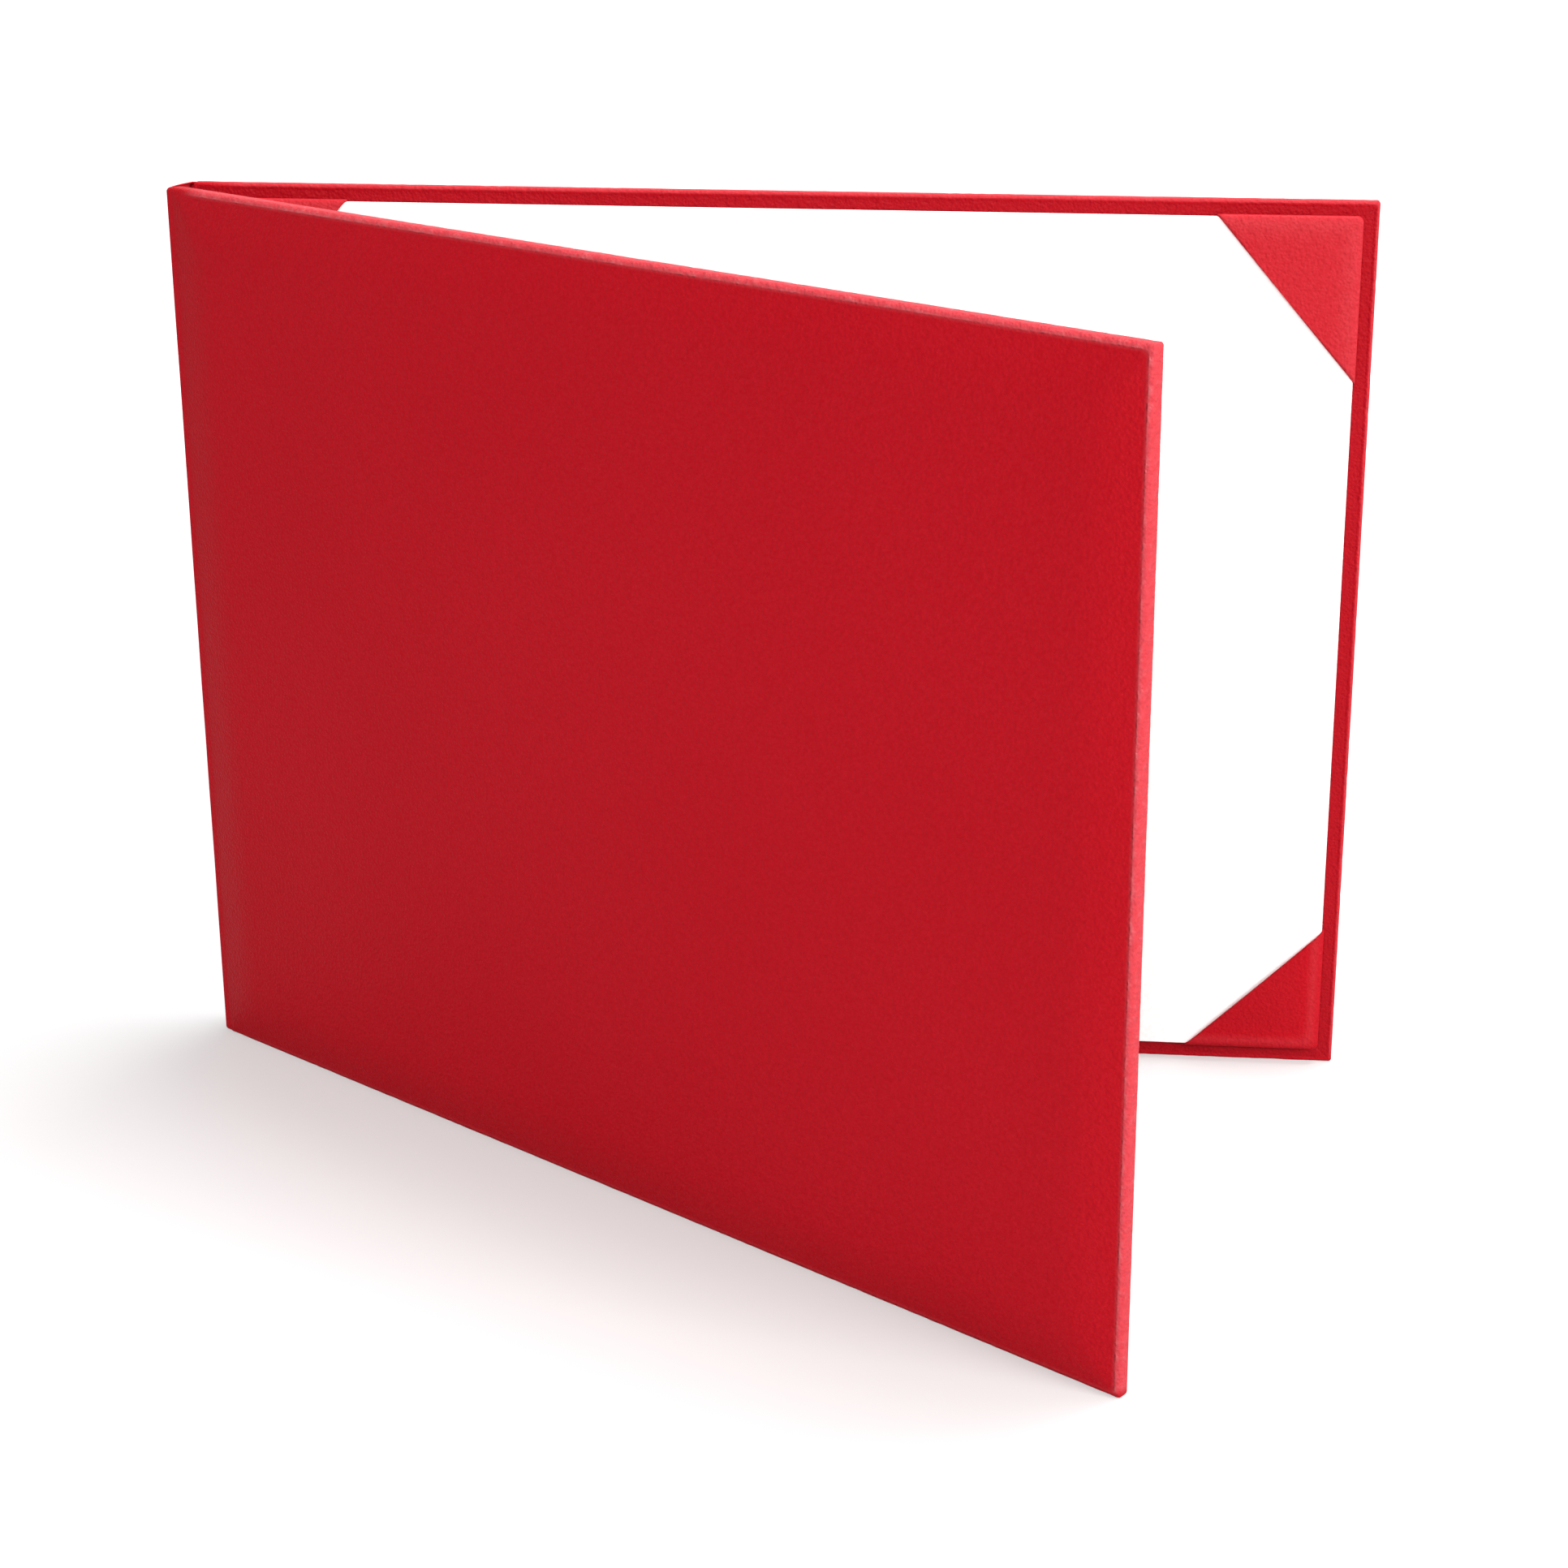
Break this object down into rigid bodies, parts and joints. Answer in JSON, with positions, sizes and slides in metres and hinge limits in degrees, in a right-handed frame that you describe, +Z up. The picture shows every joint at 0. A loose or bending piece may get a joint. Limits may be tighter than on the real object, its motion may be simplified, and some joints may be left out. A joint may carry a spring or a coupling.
{
  "type": "diploma cover",
  "caption": "Padded landscape diploma cover in red leatherette, standing half open, with a white mounting card held in folded corner pockets.",
  "frame": {"origin": "middle of the standing, half-open cover's box, at the height of its bottom edges", "axes": "+Z up the hinge; +X along the back cover to its fore edge; +Y out of the back cover's outside face"},
  "size_m": [0.2984, 0.1794, 0.2286],
  "materials": {
    "leatherette": "smooth fine-grained imitation leather with a soft sheen",
    "lining_paper": "plain embossed lining paper",
    "greyboard": "uncoated grey board",
    "foam": "soft open foam sheet",
    "white_card": "smooth white-lined card"
  },
  "bodies": {
    "back_cover": {"back_board": "greyboard", "back_pad": "foam", "back_wrap": "leatherette", "mount_card": "white_card", "pocket_head_hinge": "leatherette", "pocket_head_fore": "leatherette", "pocket_tail_hinge": "leatherette", "pocket_tail_fore": "leatherette"},
    "spine": {"spine_wrap": "leatherette", "spine_lining": "lining_paper"},
    "front_cover": {"front_board": "greyboard", "front_pad": "foam", "front_wrap": "leatherette", "front_lining": "lining_paper"}
  },
  "joints": [
    {"name": "spine_hinge", "type": "hinge", "parent": "back_cover", "child": "spine", "pos_m": [-0.14582, 0.08736, 0.1143], "axis": [0, 0, -1], "range_deg": [-17.25, 72.75]},
    {"name": "front_hinge", "type": "hinge", "parent": "spine", "child": "front_cover", "pos_m": [-0.14901, 0.07709, 0.1143], "axis": [0, 0, -1], "range_deg": [-17.25, 72.75]}
  ],
  "couplings": [
    {"joint": "front_hinge", "follows": "spine_hinge", "ratio": 1}
  ]
}
